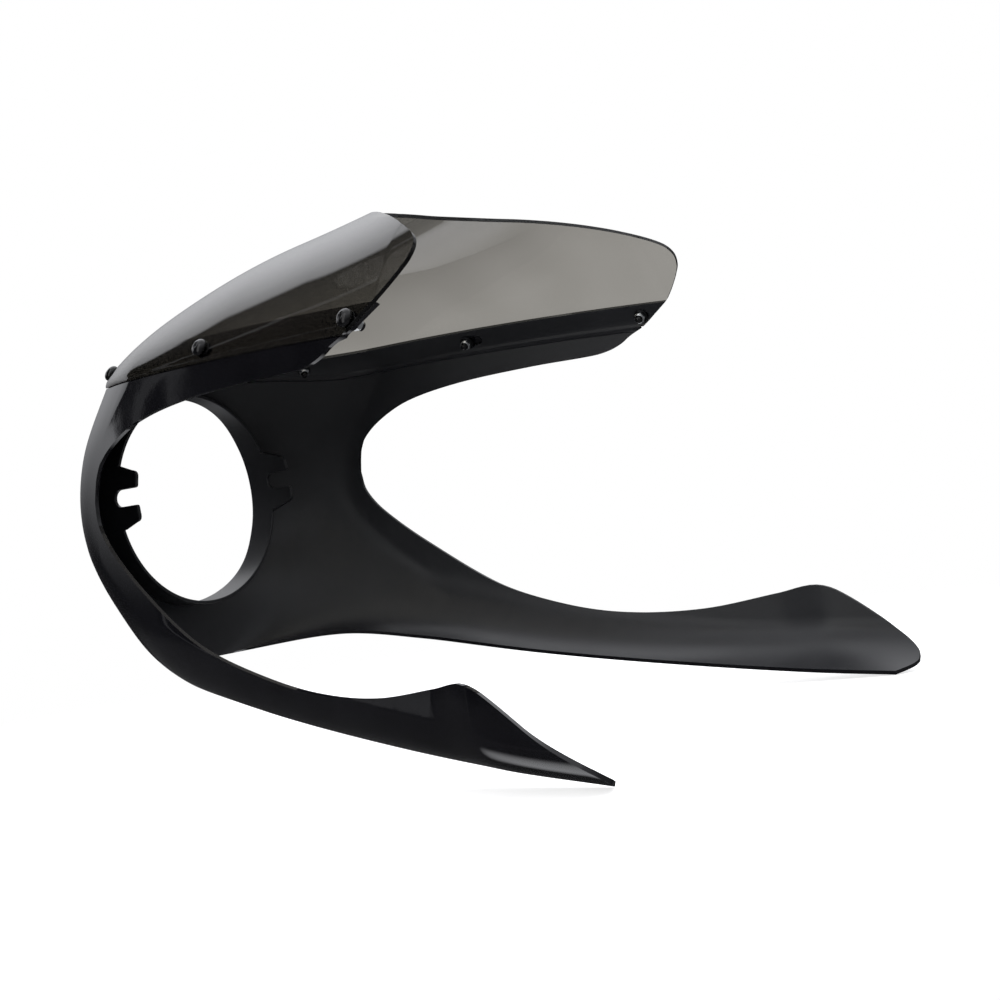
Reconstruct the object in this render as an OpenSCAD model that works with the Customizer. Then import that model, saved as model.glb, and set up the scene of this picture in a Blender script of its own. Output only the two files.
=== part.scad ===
// Headlight cowl: a one-piece moulded body with a round headlight opening and long lower arms,
// and a smoked bubble screen held to its stepped seat by six screws.
// +Z is up, the nose points along -Y, and X = 0 is the plane of symmetry.
// The origin is the centre of the opening, on the rear rim of its collar.

/* [Headlight opening] */
// Bore of the round opening that the headlight sits in
opening_d = 166; // [160:1:170]
// Wall of the collar around the opening
collar_wall = 2.6; // [2:0.2:4]
// How far the slotted tongues stand behind the collar
tongue_length = 22.5; // [16:0.5:30]
// Height of each tongue where it leaves the collar
tongue_height = 48; // [40:1:56]
// Thickness of the tongues
tongue_wall = 3.2; // [2.4:0.2:4.4]
// Height of the middle of the tongues above the centre of the opening
tongue_rise = 7; // [0:0.5:14]
// Width of the slot in each tongue
slot_width = 13; // [8:0.5:15]
// Depth of the slot, from the end of the tongue
slot_depth = 25; // [14:0.5:27]

/* [Body] */
// Wall of the moulded body
body_wall = 3; // [2.4:0.2:3.6]
// How far the nose stands ahead of the rear rim of the collar
nose_reach = 38; // [34:1:42]
// How far the nose line falls back from there to the front of the screen
brow_set_back = 28; // [24:1:32]
// How far the chin falls back below the opening
chin_set_back = 10; // [8:1:12]
// How far the chin hangs below the centre of the opening
chin_drop = 131; // [126:1:136]
// Half width of the body at the widest part of the nose
nose_half_width = 139.5; // [135:0.5:145]
// Half width between the upper arms at their rear ends
upper_arm_half_width = 178; // [172:1:184]
// Half width between the lower arms where they rise at the back
lower_arm_half_width = 225; // [216:1:232]
// How far the bottom edge of the lower arms curls in under them
lip_width = 37; // [28:1:42]
// How far back the lower arms reach
lower_arm_reach = 506; // [490:1:530]
// How far the tips of the lower arms hang below the centre of the opening
tip_drop = 199; // [190:1:208]
// How far the hump on the lower arms rises above their tips
hump_rise = 62.5; // [54:0.5:68]
// Height of the lower edge of the upper arms
upper_arm_bottom = 64.5; // [58:0.5:68]
// How far back the side cut-outs begin
cutout_front = 47; // [40:1:56]

/* [Screen] */
// Thickness of the screen
screen_wall = 3; // [2.4:0.2:4]
// Height of the seam between body and screen, at the sides
seam_height = 86; // [84:0.5:90]
// How far the seam falls towards the rear ends of the upper arms
seam_fall = 7; // [3:0.5:9]
// How far the seam rises at the nose
seam_rise = 8; // [5:0.5:10]
// How far back the seam ends
seam_reach = 331; // [322:1:345]
// Height of the stepped seat that the screen laps
seat_height = 20; // [18:0.5:21]
// Height of the crown of the screen above the seam
crown_height = 94; // [84:0.5:110]
// How far back the crown of the screen ends
crown_reach = 250; // [236:1:262]
// How far back the sides of the screen reach
screen_reach = 382; // [374:1:392]

/* [Screws] */
// Diameter of the screws' shanks
screw_d = 5; // [4:0.5:5]
// Diameter of the domed heads
head_d = 12.5; // [10:0.5:13]
// Height of the domed heads
head_height = 4; // [3:0.25:5]
// Across the flats of the nuts
nut_flats = 8; // [7.5:0.5:10]
// Thickness of the nuts
nut_height = 4; // [3:0.25:5]
// Outer diameter of the washers
washer_d = 11; // [10:0.5:12]
// Thickness of the washers
washer_height = 1; // [0.8:0.1:1.6]
// Height of the screws above the seam
screw_rise = 11; // [10:0.5:11.5]
// How far back the front pair of screws stands
front_screw = 38; // [34:1:50]
// How far back the middle pair of screws stands
middle_screw = 182; // [165:1:205]
// How far back the rear pair of screws stands
rear_screw = 336; // [325:1:338]
// Length of the slotted hole at the middle screws
middle_slot = 18; // [12:1:24]

/* [Hidden] */
$fn = 64;
body_colour = "#17181b";
screen_colour = "#5c5a53";
screw_colour = "#1c1c1e";
steel_colour = "#b9bcc0";
// clearances between the screen and its seat, and around the fasteners
seat_gap = 0.3;
head_gap = 0.15;
hole_gap = 0.3;
washer_gap = 0.45;
step_rise = 0.6;
joggle = screen_wall + seat_gap;

// smooth curve through [place, value] pairs, flat outside them
function span_of(k, x) = len([for (j = [1 : len(k) - 2]) if (x > k[j][0]) j]);
function slope_of(k, i) = let (a = max(0, i - 1), b = min(len(k) - 1, i + 1))
    (k[b][1] - k[a][1]) / (k[b][0] - k[a][0]);
function along(k, x) = let (i = span_of(k, x), h = k[i + 1][0] - k[i][0],
    t = min(1, max(0, (x - k[i][0]) / h)), t2 = t * t, t3 = t2 * t)
    (2 * t3 - 3 * t2 + 1) * k[i][1] + (t3 - 2 * t2 + t) * h * slope_of(k, i)
    + (3 * t2 - 2 * t3) * k[i + 1][1] + (t3 - t2) * h * slope_of(k, i + 1);
function ease(t) = let (s = min(1, max(0, t))) s * s * (3 - 2 * s);
function mix(a, b, t) = a + (b - a) * t;
function unit(v) = v / norm(v);

// smooth path through [y, z] points, with 0 at its start and 1 at its end
function run_to(p, i) = i == 0 ? 0 : run_to(p, i - 1) + norm(p[i] - p[i - 1]);
function path(p) = let (total = run_to(p, len(p) - 1))
    [for (k = [0, 1]) [for (i = [0 : len(p) - 1]) [run_to(p, i) / total, p[i][k]]]];
function at(path, t) = [along(path[0], t), along(path[1], t)];

// side profile of the nose, and how deep the nose is before the sides run straight, by height
brow_height = seam_height + seam_rise + 1;
nose_profile = [[-chin_drop, chin_set_back - 6 - nose_reach],
    [-opening_d / 2 - 2, chin_set_back - nose_reach], [-30, -nose_reach - 0.5],
    [40, -nose_reach + 1], [brow_height, brow_set_back - nose_reach]];
nose_depth = [[-chin_drop, 164], [-20, 80], [brow_height, 116]];
function nose_line(z) = along(nose_profile, z);

// half widths by distance back: at the seam, at the wall of the lower arms and at the bottom edge
seam_half = [[0, nose_half_width - 9], [150, upper_arm_half_width - 28],
    [360, upper_arm_half_width]];
wall_half = [[0, nose_half_width], [120, nose_half_width + 26], [260, 184],
    [lower_arm_reach - 110, lower_arm_half_width - 12], [lower_arm_reach - 74, lower_arm_half_width],
    [lower_arm_reach, lower_arm_half_width + 5]];
edge_half = [[0, 94.5], [107, 123.5], [312, 197.5 - lip_width],
    [lower_arm_reach, lower_arm_half_width - lip_width]];
// heights by distance back: of the bottom edge, and of the bend where the wall turns in above it
tip_edge = -tip_drop - 7;
edge_height = [[-30, -chin_drop], [45, 2.5 - chin_drop], [107, -141], [209, -163], [312, -181],
    [423, tip_edge + 9], [lower_arm_reach, tip_edge]];
bend_height = [[0, -44], [120, -88], [333, -149], [500, -167]];
function turn(u) = (1 - sqrt(1 - pow(0.95 * u, 2))) / (1 - sqrt(1 - 0.95 * 0.95));
function section(y, z) = let (b = along(bend_height, y), wall = along(wall_half, y))
    z > b ? mix(wall, along(seam_half, y), pow((z - b) / (seam_height - 1 - b), 2))
    : mix(wall, along(edge_half, y), turn(min(1, (b - z) / (b - along(edge_height, y)))));
function body_half(y, z) = let (s = min(1, max(0, (y - nose_line(z)) / along(nose_depth, z))))
    section(y, z) * sqrt(1 - pow(1 - s, 2));

// seam between body and screen, and the arch of the screen over it
function seam(y) = seam_height - seam_fall * pow(max(0, y - 110) / (seam_reach - 110), 2)
    + seam_rise * ease((60 - y) / 60);
seam_front = nose_line(seam_height + seam_rise);
crown_run = 288;
crown_power = 0.71;
foot_power = 1.3;
side_power = 2.04;
straight_foot = 3;
function crown(y) = let (t = min(1, max(0, (y - seam_front) / crown_run)))
    crown_height * pow(1 - (1 - t) * (1 - t), crown_power)
    + 40 * pow(max(0, y - 200) / 180, 2);
function foot(y) = straight_foot * min(1, max(0, y - seam_front) / 60);
function crown_start(h) = seam_front + crown_run * (1 - sqrt(1 - pow(h / crown_height, 1 / crown_power)));
function arch_half(y, h) = body_half(y, seam(y))
    * pow(max(0, 1 - pow(max(0, h - foot(y)) / max(crown(y) - foot(y), 0.001), foot_power)),
        1 / side_power);
function seat_point(y, h) = [arch_half(y, h), y, seam(y) + h];
function seat_normal(y, h) = unit(cross(seat_point(y + 1, h) - seat_point(y - 1, h),
    seat_point(y, h + 1) - seat_point(y, h - 1)));

// outlines in side view: below and above the side cut-outs, from their front to the arms' ends
cutout_middle = 4;
rake = 1.43;
arm_top = path([[cutout_front, cutout_middle], [cutout_front + 2, -12], [cutout_front + 15, -31],
    [97, -62], [155, -103], [204, -124], [265, -140], [333, -145],
    [lower_arm_reach - 111, hump_rise - tip_drop - 3], [lower_arm_reach - 85, hump_rise - tip_drop],
    [lower_arm_reach - 67, hump_rise - tip_drop - 6.5], [lower_arm_reach - 22, 22 - tip_drop],
    [lower_arm_reach - 3, 6 - tip_drop], [lower_arm_reach, -tip_drop]]);
arm_under = path([[cutout_front, cutout_middle], [cutout_front + 1, 14], [cutout_front + 9, 30],
    [76, upper_arm_bottom - 20], [108, upper_arm_bottom - 8], [160, upper_arm_bottom - 1],
    [230, upper_arm_bottom + 1], [seam_reach - 45, upper_arm_bottom + 0.5],
    [seam_reach - 31, upper_arm_bottom + 2], [seam_reach - 20, upper_arm_bottom + 5.5],
    [seam_reach - 12, upper_arm_bottom + 10]]);

// columns of the body: over the nose to the front of the cut-outs, then along each arm
nose_cols = 12;
arm_cols = 28;
upper_cols = 20;
lower_rows = 11;
side_rows = 7;
seat_rises = [0, step_rise, 1, seat_height * 0.25, seat_height * 0.5, seat_height * 0.75,
    seat_height];
lower_cols = nose_cols + arm_cols;
all_upper_cols = nose_cols + upper_cols;
upper_rows = side_rows + len(seat_rises);

// point of the body at y, z, with bend keeping the columns square to the nose line
function body_point(low, high, v, bend) = let (z = mix(low[1], high[1], v),
    y = mix(low[0], high[0], v) + bend * (nose_line(z) - mix(nose_line(low[1]), nose_line(high[1]), v)))
    [body_half(y, z), y, z];

chin_run = 76;
chin_front = nose_line(-chin_drop);
cutout_row_run = cutout_front - nose_line(cutout_middle);
// places of the columns along the arms, closer together at both ends
function spread(w) = w - 0.055 * sin(360 * w);
function lower_point(c, r) = let (g = pow(min(1, c / nose_cols), 2), w = max(0, (c - nose_cols) / arm_cols),
    high = w > 0 ? at(arm_top, spread(w)) : [nose_line(cutout_middle) + cutout_row_run * g, cutout_middle],
    low_y = w > 0 ? mix(chin_front + chin_run, lower_arm_reach - 10, spread(w)) : chin_front + chin_run * g,
    low = [low_y, along(edge_height, low_y)])
    body_point(low, high, pow(r / lower_rows, 1.15), max(0, 1 - 3 * w));

// point of the stepped seat: h above the seam, in the column that leaves the seam at y
function lap_point(y, h) = let (w = pow((y - seam_front) / (seam_reach - seam_front), 1.5),
    py = y + mix(crown_start(h) - seam_front, rake * h, w)) seat_point(py, h);
function seam_y(c) = let (g = pow(min(1, c / nose_cols), 2), w = max(0, (c - nose_cols) / upper_cols))
    w > 0 ? mix(seam_front + 100, seam_reach, spread(w)) : seam_front + 100 * g;
function upper_point(c, r) = let (g = pow(min(1, c / nose_cols), 2), w = max(0, (c - nose_cols) / upper_cols),
    low = w > 0 ? at(arm_under, spread(w)) : [nose_line(cutout_middle) + cutout_row_run * g, cutout_middle],
    high_y = seam_y(c), high = [high_y, seam(high_y)])
    r <= side_rows
    ? body_point(low, high, r / side_rows * (1 - 3 / (high[1] - low[1])), max(0, 1 - 3 * w))
    : r == side_rows + 1 ? [body_half(high_y, high[1]), high_y, high[1]]
    : lap_point(high_y, seat_rises[r - side_rows - 1]);

// outer grids, with columns from the far end round the nose to the near end
function flip(p, s) = [s * p[0], p[1], p[2]];
lower_grid = [for (c = [-lower_cols : lower_cols]) [for (r = [0 : lower_rows])
    flip(lower_point(abs(c), r), c < 0 ? -1 : 1)]];
upper_grid = [for (c = [-all_upper_cols : all_upper_cols]) [for (r = [0 : upper_rows])
    flip(upper_point(abs(c), r), c < 0 ? -1 : 1)]];

// a grid set in along its own normals by the depth given for each row
function normal_at(g, c, r) = let (n = len(g) - 1, m = len(g[0]) - 1)
    unit(cross(g[min(n, c + 1)][r] - g[max(0, c - 1)][r], g[c][min(m, r + 1)] - g[c][max(0, r - 1)]));
function set_in(g, depths) = [for (c = [0 : len(g) - 1]) [for (r = [0 : len(g[0]) - 1])
    g[c][r] - depths[r] * normal_at(g, c, r)]];
function flat(g) = [for (col = g) each col];
// two triangles of a grid cell, from the index of its four corners
function cell(a, b, c, d) = [[a, b, c], [a, c, d]];

// how far each row of the upper grid is set in, outside and inside the wall
outer_depths = [for (r = [0 : upper_rows]) r > side_rows + 1 ? joggle : 0];
inner_depths = [for (r = [0 : upper_rows])
    body_wall + (r > side_rows + 1 ? joggle : r > side_rows ? 0.8 * joggle : 0)];
lower_depths = [for (r = [0 : lower_rows]) body_wall];
no_depths = [for (r = [0 : lower_rows]) 0];

// The body's wall: two grids that share the row from the nose to the front of the cut-outs
module body_skin() {
    lower_count = (2 * lower_cols + 1) * (lower_rows + 1);
    upper_count = (2 * all_upper_cols + 1) * (upper_rows + 1);
    function low(c, r, side) = side * lower_count + (c + lower_cols) * (lower_rows + 1) + r;
    function up(c, r, side) = r == 0 && abs(c) <= nose_cols ? low(c, lower_rows, side)
        : 2 * lower_count + side * upper_count + (c + all_upper_cols) * (upper_rows + 1) + r;
    points = concat(flat(lower_grid), flat(set_in(lower_grid, lower_depths)),
        flat(set_in(upper_grid, outer_depths)), flat(set_in(upper_grid, inner_depths)));
    lower_end = lower_cols;
    upper_end = all_upper_cols;
    faces = [
        for (c = [-lower_end : lower_end - 1], r = [0 : lower_rows - 1]) each concat(
            cell(low(c, r, 0), low(c, r + 1, 0), low(c + 1, r + 1, 0), low(c + 1, r, 0)),
            cell(low(c, r, 1), low(c + 1, r, 1), low(c + 1, r + 1, 1), low(c, r + 1, 1))),
        for (c = [-upper_end : upper_end - 1], r = [0 : upper_rows - 1]) each concat(
            cell(up(c, r, 0), up(c, r + 1, 0), up(c + 1, r + 1, 0), up(c + 1, r, 0)),
            cell(up(c, r, 1), up(c + 1, r, 1), up(c + 1, r + 1, 1), up(c, r + 1, 1))),
        // bottom edge and top of the seat
        for (c = [-lower_end : lower_end - 1])
            each cell(low(c, 0, 0), low(c + 1, 0, 0), low(c + 1, 0, 1), low(c, 0, 1)),
        for (c = [-upper_end : upper_end - 1]) each cell(up(c, upper_rows, 0), up(c, upper_rows, 1),
            up(c + 1, upper_rows, 1), up(c + 1, upper_rows, 0)),
        // edges of the cut-outs
        for (c = [-lower_end : lower_end - 1]) if (c >= nose_cols || c < -nose_cols)
            each cell(low(c, lower_rows, 0), low(c, lower_rows, 1),
                low(c + 1, lower_rows, 1), low(c + 1, lower_rows, 0)),
        for (c = [-upper_end : upper_end - 1]) if (c >= nose_cols || c < -nose_cols)
            each cell(up(c, 0, 0), up(c + 1, 0, 0), up(c + 1, 0, 1), up(c, 0, 1)),
        // ends of the arms
        for (r = [0 : lower_rows - 1]) each concat(
            cell(low(lower_end, r, 0), low(lower_end, r + 1, 0),
                low(lower_end, r + 1, 1), low(lower_end, r, 1)),
            cell(low(-lower_end, r, 0), low(-lower_end, r, 1),
                low(-lower_end, r + 1, 1), low(-lower_end, r + 1, 0))),
        for (r = [0 : upper_rows - 1]) each concat(
            cell(up(upper_end, r, 0), up(upper_end, r + 1, 0),
                up(upper_end, r + 1, 1), up(upper_end, r, 1)),
            cell(up(-upper_end, r, 0), up(-upper_end, r, 1),
                up(-upper_end, r + 1, 1), up(-upper_end, r + 1, 0)))
    ];
    polyhedron(points, faces, 4);
}

// Collar: a short tube whose front end follows the inside of the nose
collar_r = opening_d / 2 + collar_wall;
collar_sides = 96;
function nose_y(x, z, near = -60, far = 40, n = 18) = let (m = (near + far) / 2)
    n == 0 ? m : body_half(m, z) > x ? nose_y(x, z, near, m, n - 1) : nose_y(x, z, m, far, n - 1);
module collar() {
    inner_r = opening_d / 2 - 1;
    rings = [for (i = [0 : collar_sides - 1]) let (a = 360 * i / collar_sides, d = [cos(a), sin(a)],
        front = nose_y(abs(collar_r * d[0]), collar_r * d[1]) + 0.4 * body_wall)
        [[collar_r * d[0], 0, collar_r * d[1]], [collar_r * d[0], front, collar_r * d[1]],
        [inner_r * d[0], front, inner_r * d[1]], [inner_r * d[0], 0, inner_r * d[1]]]];
    polyhedron(flat(rings), [for (i = [0 : collar_sides - 1], k = [0 : 3])
        let (j = (i + 1) % collar_sides, m = (k + 1) % 4)
        each cell(4 * i + k, 4 * i + m, 4 * j + m, 4 * j + k)], 4);
}

// outline of the open slot in a tongue: x across it, y back from the collar's rear rim
module slot_shape(length) {
    slot_end = tongue_length - slot_depth + slot_width / 2;
    translate([0, slot_end]) circle(slot_width / 2);
    translate([-slot_width / 2, slot_end]) square([slot_width, length]);
}

// Tongues: the collar's wall carried back at each side, with an open slot for the headlight's bolt
module tongues() {
    half = tongue_height / 2;
    end = half - 4.5;
    corner = 2.5;
    intersection() {
        rotate([90, 0, 0]) difference() {
            cylinder(r = opening_d / 2 + tongue_wall, h = 2 * tongue_length + 20, center = true, $fn = 128);
            cylinder(r = opening_d / 2 - 0.5, h = 2 * tongue_length + 30, center = true, $fn = 128);
        }
        translate([0, 0, tongue_rise]) rotate([0, -90, 0])
            linear_extrude(opening_d + 40, center = true) difference() {
                union() {
                    polygon([[-half, -8], [half, -8], [half, 3], [end, tongue_length - corner],
                        [end - corner, tongue_length], [corner - end, tongue_length],
                        [-end, tongue_length - corner], [-half, 3]]);
                    for (s = [-1, 1])
                        translate([s * (end - corner), tongue_length - corner]) circle(corner);
                }
                slot_shape(slot_depth + 10);
            }
    }
}

// places a shape on the screen at each screw of one pair, with its own z pointing out along the screw
module screw_pair(y) {
    p = seat_point(y, screw_rise);
    n = seat_normal(y, screw_rise);
    for (side = [0, 1]) mirror([side, 0, 0]) translate(p)
        rotate([0, acos(n[2]), atan2(n[1], n[0])]) children();
}
module each_screw() for (y = [front_screw, middle_screw, rear_screw]) screw_pair(y) children();

// slotted hole that runs back from the screw
module slot_hole(length, width) {
    cylinder(d = width, h = 30, center = true);
    translate([0, length - width, 0]) cylinder(d = width, h = 30, center = true);
    translate([-width / 2, 0, -15]) cube([width, length - width, 30]);
}

seat_hole = screw_d + 2 * hole_gap + 0.6;
module cowl_shell() color(body_colour) difference() {
    union() {
        difference() {
            union() { body_skin(); collar(); }
            translate([0, 30, 0]) rotate([90, 0, 0]) cylinder(d = opening_d, h = 100, $fn = 128);
        }
        difference() {
            tongues();
            rotate([90, 0, 0]) cylinder(d = opening_d, h = 200, center = true, $fn = 128);
        }
    }
    // the slots run on into the collar
    for (s = [-1, 1]) translate([s * opening_d / 2, 0, tongue_rise]) rotate([0, -90, 0])
        linear_extrude(20, center = true) slot_shape(slot_depth);
    screw_pair(front_screw) cylinder(d = seat_hole, h = 30, center = true);
    screw_pair(middle_screw) slot_hole(middle_slot, seat_hole + 1.5);
    screw_pair(rear_screw) slot_hole(seat_hole + 3, seat_hole);
}

// The screen: its lower rows lap the seat in the same columns, and the rest run back to its rear edge
arch_rows = 12;
lap_rises = [for (i = [2 : len(seat_rises) - 1]) seat_rises[i]];
corner_angle = 24.5;
// rear edge by the angle up the arch, from the lower rear corner to the crown
rear_edge = [[corner_angle, screen_reach - 7], [28, screen_reach - 1.5], [32, screen_reach],
    [36, screen_reach - 6], [44, screen_reach - 31], [55, screen_reach - 72],
    [67, crown_reach + 25], [90, crown_reach]];
function arch_angle(y, h) = asin(sqrt(min(1, pow(max(0, h - foot(y)) / (crown(y) - foot(y)), foot_power))));
function screen_point(c, r) = let (foot = lap_point(seam_y(c), seat_height),
    t = (r - len(lap_rises) + 1) / arch_rows, end = mix(90, corner_angle, c / all_upper_cols),
    a = mix(arch_angle(foot[1], seat_height), end, t), y = mix(foot[1], along(rear_edge, end), t))
    r < len(lap_rises) ? lap_point(seam_y(c), lap_rises[r])
    : [c == 0 ? 0 : body_half(y, seam(y)) * pow(cos(a), 2 / side_power), y,
        seam(y) + foot(y) + (crown(y) - foot(y)) * pow(sin(a), 2 / foot_power)];
screen_rows = len(lap_rises) - 1 + arch_rows;
screen_grid = [for (c = [-all_upper_cols : all_upper_cols]) [for (r = [0 : screen_rows])
    flip(screen_point(abs(c), r), c < 0 ? -1 : 1)]];

module screen_skin() {
    cols = len(screen_grid) - 1;
    count = (cols + 1) * (screen_rows + 1);
    function id(c, r, side) = side * count + c * (screen_rows + 1) + r;
    depths = [for (r = [0 : screen_rows]) screen_wall];
    polyhedron(concat(flat(screen_grid), flat(set_in(screen_grid, depths))), [
        for (c = [0 : cols - 1], r = [0 : screen_rows - 1])
            each concat(cell(id(c, r, 0), id(c, r + 1, 0), id(c + 1, r + 1, 0), id(c + 1, r, 0)),
                cell(id(c, r, 1), id(c + 1, r, 1), id(c + 1, r + 1, 1), id(c, r + 1, 1))),
        for (c = [0 : cols - 1]) each concat(
            cell(id(c, 0, 0), id(c + 1, 0, 0), id(c + 1, 0, 1), id(c, 0, 1)),
            cell(id(c, screen_rows, 0), id(c, screen_rows, 1),
                id(c + 1, screen_rows, 1), id(c + 1, screen_rows, 0))),
        for (r = [0 : screen_rows - 1]) each concat(
            cell(id(0, r, 0), id(0, r, 1), id(0, r + 1, 1), id(0, r + 1, 0)),
            cell(id(cols, r, 0), id(cols, r + 1, 0), id(cols, r + 1, 1), id(cols, r, 1)))
    ], 4);
}
module windscreen() color(screen_colour) difference() {
    screen_skin();
    each_screw() cylinder(d = screw_d + 2 * hole_gap, h = 20, center = true);
}

// Fasteners: heights are measured down each screw from the outside of the screen
grip = screen_wall + seat_gap + body_wall + washer_gap;
shank_length = grip + washer_height + 2 * hole_gap + nut_height + 2.5;

module screw() {
    cap_r = (head_d * head_d / 4 + head_height * head_height) / (2 * head_height);
    difference() {
        union() {
            intersection() {
                translate([0, 0, head_gap + head_height - cap_r]) sphere(cap_r, $fn = 96);
                translate([0, 0, head_gap]) cylinder(d = head_d, h = head_height);
            }
            translate([0, 0, -shank_length]) cylinder(d = screw_d, h = shank_length + head_gap + 0.5);
        }
        translate([0, 0, head_gap + head_height * 0.45])
            cylinder(d = 0.34 * head_d, h = head_height, $fn = 6);
    }
}
module screen_screws() color(screw_colour) each_screw() screw();
module screen_washers() color(steel_colour) each_screw()
    translate([0, 0, -grip - washer_height]) difference() {
        cylinder(d = washer_d, h = washer_height);
        translate([0, 0, -1]) cylinder(d = screw_d + 0.4, h = washer_height + 2);
    }
module screen_nuts() color(steel_colour) each_screw()
    translate([0, 0, -grip - washer_height - hole_gap - nut_height]) difference() {
        cylinder(d = nut_flats / cos(30), h = nut_height, $fn = 6);
        translate([0, 0, -1]) cylinder(d = screw_d + 0.2, h = nut_height + 2);
    }

cowl_shell();
windscreen();
screen_screws();
screen_washers();
screen_nuts();
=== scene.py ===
"""Dresses the headlight cowl: a gloss black moulded body with satin insides, a smoked bubble screen
on its stepped seat, and the screws, washers and nuts that hold it. Sizes are in millimetres until a
mesh is made, and they repeat the part's own."""
import math
import bmesh
import bpy
import numpy as np
from mathutils import Matrix, Vector


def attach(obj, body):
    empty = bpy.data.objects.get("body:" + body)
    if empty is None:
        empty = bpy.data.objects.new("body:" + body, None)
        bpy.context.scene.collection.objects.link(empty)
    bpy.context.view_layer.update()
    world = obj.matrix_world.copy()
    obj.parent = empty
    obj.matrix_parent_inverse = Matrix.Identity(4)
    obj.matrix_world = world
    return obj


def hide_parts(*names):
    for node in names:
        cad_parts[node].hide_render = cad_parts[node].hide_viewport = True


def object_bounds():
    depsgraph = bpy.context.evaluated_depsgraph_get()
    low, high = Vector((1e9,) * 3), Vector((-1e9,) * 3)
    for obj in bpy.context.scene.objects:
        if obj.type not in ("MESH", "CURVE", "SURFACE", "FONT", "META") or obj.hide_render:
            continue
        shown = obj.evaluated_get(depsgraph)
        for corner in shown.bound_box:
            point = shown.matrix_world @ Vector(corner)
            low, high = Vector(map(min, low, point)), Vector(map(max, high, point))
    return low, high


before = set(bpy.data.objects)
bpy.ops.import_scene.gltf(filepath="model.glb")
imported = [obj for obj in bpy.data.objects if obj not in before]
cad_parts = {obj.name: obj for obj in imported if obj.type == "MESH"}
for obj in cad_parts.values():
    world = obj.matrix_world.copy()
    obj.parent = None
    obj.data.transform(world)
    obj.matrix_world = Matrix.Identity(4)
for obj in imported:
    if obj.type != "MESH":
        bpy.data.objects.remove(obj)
cad_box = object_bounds()
scene = bpy.context.scene
MM = 0.001

# Headlight opening and its collar
OPENING_R = 83.0
COLLAR_WALL = 2.6
TONGUE_WALL = 3.2
TONGUE_LENGTH = 22.5
TONGUE_HALF = 24.0
TONGUE_RISE = 7.0
SLOT_HALF = 6.5
SLOT_DEPTH = 25.0
TONGUE_TAPER = 4.5
TONGUE_CORNER = 5.0
SLOT_MOUTH_ROUND = 2.0
COLLAR_FOOT = -3.8
LIP_LENGTH = 1.5
EDGE_ROUND = 0.7

# Moulded body
BODY_WALL = 3.0
NOSE_REACH = 38.0
BROW_SET_BACK = 28.0
CHIN_SET_BACK = 10.0
CHIN_DROP = 131.0
NOSE_HALF_WIDTH = 139.5
UPPER_ARM_HALF_WIDTH = 178.0
LOWER_ARM_HALF_WIDTH = 224.8
LIP_WIDTH = 37.0
LOWER_ARM_REACH = 506.0
TIP_DROP = 199.0
HUMP_RISE = 62.5
UPPER_ARM_BOTTOM = 64.5
CUTOUT_FRONT = 47.0
CUTOUT_MIDDLE = 4.0
CHIN_RUN = 76.0
TIP_SET_BACK = 11.0
TIP_ROUND = 3.0
TIP_START = 0.93
LIP_CURL = 0.95

# Screen and its seat
SCREEN_WALL = 3.0
SEAT_GAP = 0.3
SEAM_HEIGHT = 86.0
SEAM_FALL = 7.0
SEAM_RISE = 8.0
SEAM_REACH = 331.0
SEAM_LEVEL_END = 110.0
BROW_RUN = 60.0
SEAT_HEIGHT = 20.0
CROWN_HEIGHT = 94.0
CROWN_REACH = 250.0
SCREEN_REACH = 382.0
CROWN_RUN = 288.0
CROWN_POWER = 0.71
TAIL_LIFT = 40.0
TAIL_START = 200.0
TAIL_RUN = 180.0
FOOT_POWER = 1.3
SIDE_POWER = 2.04
STRAIGHT_FOOT = 3.0
FOOT_RUN = 60.0
STEP_RISE = 0.6
JOGGLE = SCREEN_WALL + SEAT_GAP
RAKE = 1.43
CORNER_ANGLE = 24.5

# Screws, by how far back each pair stands
SCREW_D = 5.0
HEAD_D = 12.5
HEAD_HEIGHT = 5.0
HEAD_RIM = 0.9
SOCKET_SHARE = 0.16
THREAD_PITCH = 0.8
THREAD_DEPTH = 0.35
NUT_FLATS = 8.0
NUT_HEIGHT = 4.0
NUT_SHOULDER = 0.72
WASHER_D = 11.0
WASHER_HEIGHT = 1.0
SCREW_RISE = 11.0
FRONT_SCREW, MIDDLE_SCREW, REAR_SCREW = 38.0, 182.0, 336.0
MIDDLE_SLOT = 18.0
SEAT_HOLE = 6.2
MIDDLE_SLOT_WIDTH = SEAT_HOLE + 1.5
REAR_SLOT = SEAT_HOLE + 3
POCKET_FLOOR = 0.8
CUTTER_REACH = 14.0
CUTTER_RISE = 3.0
HEAD_GAP = 0.15
WASHER_GAP = 0.45
NUT_GAP = 0.3
GRIP = SCREEN_WALL + SEAT_GAP + BODY_WALL + WASHER_GAP
SHANK_LENGTH = GRIP + WASHER_HEIGHT + 2 * NUT_GAP + NUT_HEIGHT + 2.5


def along(knots, x):
    """Smooth curve through (place, value) pairs, flat outside them."""
    places, values = np.array(knots, float).T
    slopes = np.empty_like(values)
    slopes[1:-1] = (values[2:] - values[:-2]) / (places[2:] - places[:-2])
    slopes[0] = (values[1] - values[0]) / (places[1] - places[0])
    slopes[-1] = (values[-1] - values[-2]) / (places[-1] - places[-2])
    x = np.clip(x, places[0], places[-1])
    i = np.clip(np.searchsorted(places, x) - 1, 0, len(places) - 2)
    step = places[i + 1] - places[i]
    t = (x - places[i]) / step
    return ((2 * t**3 - 3 * t**2 + 1) * values[i] + (t**3 - 2 * t**2 + t) * step * slopes[i]
            + (3 * t**2 - 2 * t**3) * values[i + 1] + (t**3 - t**2) * step * slopes[i + 1])


def mix(a, b, t):
    return a + (b - a) * t


def ease(t):
    t = np.clip(t, 0, 1)
    return t * t * (3 - 2 * t)


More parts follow.
